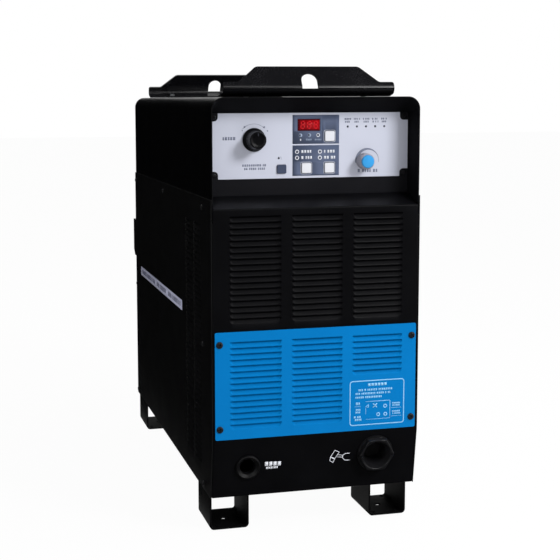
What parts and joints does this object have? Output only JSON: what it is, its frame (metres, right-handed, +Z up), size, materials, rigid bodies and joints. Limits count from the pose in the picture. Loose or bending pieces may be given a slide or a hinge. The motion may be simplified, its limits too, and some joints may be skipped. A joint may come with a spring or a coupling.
{
  "type": "plasma cutter unit",
  "caption": "Upright inverter plasma cutting power unit: louvred black sheet cabinet with blue cover, recessed control panel, lifting rails and channel feet.",
  "frame": {"origin": "centre of the bounding box's footprint, on the ground under the feet", "axes": "+X to the right across the front as the operator sees it, -Y out of the front with the control panel, +Y to the rear fan side, +Z up"},
  "size_m": [0.3552, 0.8302, 0.757],
  "materials": {
    "black_paint": "satin black powder coat on sheet steel",
    "blue_paint": "semi-gloss bright blue powder coat",
    "black_steel": "black-oxide screws",
    "zinc_steel": "zinc-plated steel",
    "recess_black": "satin black sheet",
    "fascia_film": "printed polyester overlay, satin",
    "white_key": "moulded white key",
    "slate_key": "slate key under film",
    "knob_black": "black phenolic",
    "knob_cream": "cream moulding",
    "cap_blue": "bright blue cap",
    "display_red": "dark red display window",
    "led_lens": "clear lamp lenses",
    "board_green": "solder mask",
    "lamination": "laminated core steel",
    "winding": "varnished copper winding",
    "aluminium": "extruded aluminium",
    "module_black": "moulded module case",
    "can_sleeve": "shrink sleeve",
    "fan_black": "glass-filled plastic",
    "guard_wire": "coated steel wire",
    "breaker_case": "moulded case",
    "brass": "machined brass",
    "hose_blue": "polyurethane air tube",
    "gland_black": "black nylon",
    "rubber": "moulded rubber",
    "terminal_case": "moulded terminal block"
  },
  "bodies": {
    "housing": {"base_pan": "black_paint", "front_panel": "black_paint", "chin_panel": "black_paint", "access_cover": "blue_paint", "cover_screws": "black_steel", "hood": "black_paint", "side_left": "black_paint", "side_right": "black_paint", "shell_screws": "black_steel", "rear_panel": "black_paint", "recess_frame": "recess_black", "recess_plate": "recess_black", "fascia": "fascia_film", "fascia_screws": "black_steel", "display": "display_red", "leds": "led_lens", "pot_body": "zinc_steel", "regulator_body": "aluminium", "control_board": "board_green", "rail_front": "black_paint", "rail_rear": "black_paint", "rail_bolts": "zinc_steel", "foot_front_left": "black_paint", "foot_front_right": "black_paint", "foot_rear_left": "black_paint", "foot_rear_right": "black_paint", "foot_bolts": "zinc_steel", "torch_gland": "gland_black", "work_grommet": "rubber", "saddle": "zinc_steel", "transformer_core": "lamination", "transformer_coil": "winding", "choke_core": "lamination", "choke_coil": "winding", "heat_sink": "aluminium", "power_modules": "module_black", "power_board": "board_green", "capacitors": "can_sleeve", "fan_frame": "fan_black", "fan_guard": "guard_wire", "breaker": "breaker_case", "air_inlet": "brass", "air_line": "hose_blue", "torch_hose": "hose_blue", "gas_valve": "brass", "torch_block": "brass", "work_terminal": "brass", "arc_coil": "winding", "input_box": "black_paint", "input_terminals": "terminal_case"},
    "mode_key": {"key_mode": "white_key"},
    "gas_key": {"key_gas": "white_key"},
    "set_key": {"key_set": "white_key"},
    "test_key": {"key_test": "slate_key"},
    "current_control": {"current_knob": "knob_black"},
    "pressure_control": {"regulator_knob": "knob_cream", "regulator_cap": "cap_blue"},
    "fan": {"fan_rotor": "fan_black"},
    "supply_toggle": {"breaker_toggle": "knob_black"}
  },
  "joints": [
    {"name": "mode_key_press", "type": "slide", "parent": "housing", "child": "mode_key", "axis": [0, 1, 0], "range_m": [0, 0.0012], "stiffness_N_per_m": 400},
    {"name": "gas_key_press", "type": "slide", "parent": "housing", "child": "gas_key", "axis": [0, 1, 0], "range_m": [0, 0.0012], "stiffness_N_per_m": 400},
    {"name": "set_key_press", "type": "slide", "parent": "housing", "child": "set_key", "axis": [0, 1, 0], "range_m": [0, 0.0012], "stiffness_N_per_m": 400},
    {"name": "test_key_press", "type": "slide", "parent": "housing", "child": "test_key", "axis": [0, 1, 0], "range_m": [0, 0.0012], "stiffness_N_per_m": 400},
    {"name": "current_knob_turn", "type": "hinge", "parent": "housing", "child": "current_control", "pos_m": [-0.0948, -0.37994, 0.64], "axis": [0, 1, 0], "range_deg": [-140, 140]},
    {"name": "pressure_knob_turn", "type": "hinge", "parent": "housing", "child": "pressure_control", "pos_m": [0.091, -0.37994, 0.6032], "axis": [0, 1, 0], "range_deg": [-540, 540]},
    {"name": "fan_spin", "type": "hinge", "parent": "housing", "child": "fan", "pos_m": [0, 0.31506, 0.225], "axis": [0, 1, 0], "continuous": true},
    {"name": "supply_toggle_swing", "type": "hinge", "parent": "housing", "child": "supply_toggle", "pos_m": [-0.095, 0.34006, 0.59], "axis": [1, 0, 0], "range_deg": [0, 56]}
  ]
}
